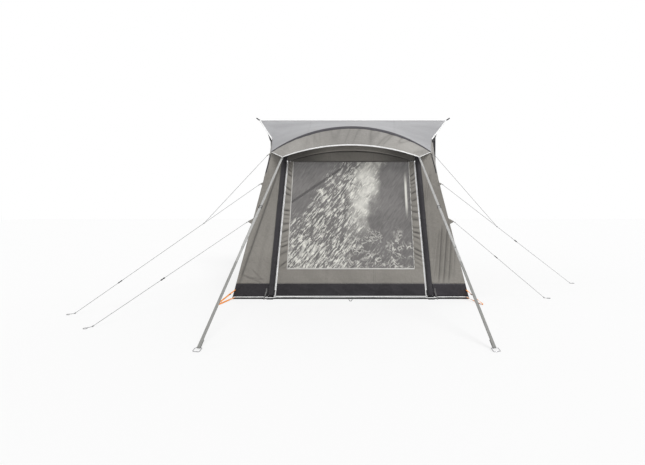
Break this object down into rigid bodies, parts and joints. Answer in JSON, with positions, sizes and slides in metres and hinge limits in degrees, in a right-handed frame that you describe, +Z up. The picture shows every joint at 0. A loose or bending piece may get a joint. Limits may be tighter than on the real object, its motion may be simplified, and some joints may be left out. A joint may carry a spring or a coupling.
{
  "type": "caravan awning",
  "caption": "Inflatable porch awning for a caravan: air beam arch, ruled roof with visor, zip-in front with clear window, side doors, storm straps and guy lines.",
  "frame": {"origin": "on the ground, midway across the awning and midway between the caravan face and the storm straps' rings", "axes": "+Z up; +Y towards the caravan's rail; +X to the right as seen from in front of the awning"},
  "size_m": [5.5999, 3.4902, 2.4381],
  "materials": {
    "roof_cloth": "plain woven polyester, matt",
    "wall_cloth": "plain woven polyester, matt",
    "visor_cloth": "plain woven polyester, matt",
    "dark_cloth": "coated polyester, matt",
    "clear_film": "clear, slightly crinkled film",
    "white_piping": "smooth, satin",
    "beam_film": "smooth inflated film",
    "black_hem": "coated webbing, matt",
    "grey_webbing": "woven webbing",
    "orange_webbing": "woven webbing",
    "guy_cord": "braided cord",
    "black_plastic": "moulded, matt",
    "ring_steel": "zinc plated"
  },
  "bodies": {
    "awning": {"air_beam": "beam_film", "arch_band": "dark_cloth", "base_hem_front": "black_hem", "base_hem_left": "black_hem", "base_hem_right": "black_hem", "beam_foot_left": "black_plastic", "beam_foot_right": "black_plastic", "beam_sleeve": "dark_cloth", "centre_peg_loop": "black_hem", "corner_strap_left": "orange_webbing", "corner_strap_right": "orange_webbing", "foot_strap_left": "grey_webbing", "foot_strap_right": "grey_webbing", "guy_branch_left": "guy_cord", "guy_branch_right": "guy_cord", "guy_lower_left": "guy_cord", "guy_lower_right": "guy_cord", "guy_upper_left": "guy_cord", "guy_upper_right": "guy_cord", "head_panel": "wall_cloth", "keder_bead": "white_piping", "rear_pad_left": "dark_cloth", "rear_pad_right": "dark_cloth", "roof_piping_left": "white_piping", "roof_piping_right": "white_piping", "roof_sheet": "roof_cloth", "side_front_left": "wall_cloth", "side_front_right": "wall_cloth", "side_head_left": "wall_cloth", "side_head_right": "wall_cloth", "storm_strap_left": "grey_webbing", "storm_strap_right": "grey_webbing", "valve_body": "black_plastic", "visor": "visor_cloth", "visor_piping": "white_piping", "wing_left": "wall_cloth", "wing_mudwall_left": "dark_cloth", "wing_mudwall_right": "dark_cloth", "wing_right": "wall_cloth", "zip_piping_left": "white_piping", "zip_piping_right": "white_piping"},
    "front_panel": {"front_panel": "wall_cloth", "front_window": "clear_film", "panel_mudwall": "dark_cloth"},
    "valve_cap": {"valve_cap": "black_plastic"},
    "door_left": {"door_left": "wall_cloth"},
    "door_slider_left": {"door_slider_left": "black_plastic"},
    "zip_slider_left": {"zip_slider_left": "black_plastic"},
    "storm_buckle_left": {"storm_buckle_left": "black_plastic"},
    "storm_ring_left": {"storm_ring_left": "ring_steel"},
    "runner_upper_left": {"runner_upper_left": "black_plastic"},
    "runner_lower_left": {"runner_lower_left": "black_plastic"},
    "door_right": {"door_right": "wall_cloth"},
    "door_slider_right": {"door_slider_right": "black_plastic"},
    "zip_slider_right": {"zip_slider_right": "black_plastic"},
    "storm_buckle_right": {"storm_buckle_right": "black_plastic"},
    "storm_ring_right": {"storm_ring_right": "ring_steel"},
    "runner_upper_right": {"runner_upper_right": "black_plastic"},
    "runner_lower_right": {"runner_lower_right": "black_plastic"}
  },
  "joints": [
    {"name": "front_panel_fold", "type": "hinge", "parent": "awning", "child": "front_panel", "pos_m": [0, -0.25125, 0.03165], "axis": [1, 0, 0], "range_deg": [0, 95]},
    {"name": "door_left_swing", "type": "hinge", "parent": "awning", "child": "door_left", "pos_m": [-1.3, 1.7116, 0], "axis": [-0.0028, 0, -1], "range_deg": [0, 90]},
    {"name": "door_right_swing", "type": "hinge", "parent": "awning", "child": "door_right", "pos_m": [1.3, 1.7116, 0], "axis": [-0.0028, 0, 1], "range_deg": [0, 90]},
    {"name": "zip_slider_left_run", "type": "slide", "parent": "awning", "child": "zip_slider_left", "axis": [0.0652, 0.148, 0.9868], "range_m": [0, 1.44]},
    {"name": "door_slider_left_run", "type": "slide", "parent": "awning", "child": "door_slider_left", "axis": [0.0691, 0.0466, 0.9965], "range_m": [0, 1.75]},
    {"name": "zip_slider_right_run", "type": "slide", "parent": "awning", "child": "zip_slider_right", "axis": [-0.0652, 0.148, 0.9868], "range_m": [0, 1.44]},
    {"name": "door_slider_right_run", "type": "slide", "parent": "awning", "child": "door_slider_right", "axis": [-0.0691, 0.0466, 0.9965], "range_m": [0, 1.75]},
    {"name": "runner_upper_left_run", "type": "slide", "parent": "awning", "child": "runner_upper_left", "axis": [-0.7226, -0.3551, -0.5931], "range_m": [-0.5, 0.35]},
    {"name": "runner_upper_right_run", "type": "slide", "parent": "awning", "child": "runner_upper_right", "axis": [0.792, 0.2724, -0.5464], "range_m": [-0.25, 0.6]},
    {"name": "runner_lower_left_run", "type": "slide", "parent": "awning", "child": "runner_lower_left", "axis": [-0.5827, -0.6416, -0.4987], "range_m": [-0.5, 0.4]},
    {"name": "runner_lower_right_run", "type": "slide", "parent": "awning", "child": "runner_lower_right", "axis": [0.756, -0.0716, -0.6506], "range_m": [-0.35, 0.45]},
    {"name": "storm_buckle_left_run", "type": "slide", "parent": "awning", "child": "storm_buckle_left", "axis": [-0.1228, -0.7007, -0.7028], "range_m": [-0.15, 0.15]},
    {"name": "storm_ring_left_lift", "type": "hinge", "parent": "awning", "child": "storm_ring_left", "pos_m": [-1.041, -1.70317, 0.016], "axis": [-0.985, 0.1727, 0], "range_deg": [0, 80]},
    {"name": "storm_buckle_right_run", "type": "slide", "parent": "awning", "child": "storm_buckle_right", "axis": [0.1228, -0.7007, -0.7028], "range_m": [-0.15, 0.15]},
    {"name": "storm_ring_right_lift", "type": "hinge", "parent": "awning", "child": "storm_ring_right", "pos_m": [1.041, -1.70317, 0.016], "axis": [-0.985, -0.1727, 0], "range_deg": [0, 80]},
    {"name": "valve_cap_turn", "type": "hinge", "parent": "awning", "child": "valve_cap", "pos_m": [-0.85741, -0.16937, 0.29036], "axis": [0, 0.9889, -0.1483], "continuous": true}
  ]
}
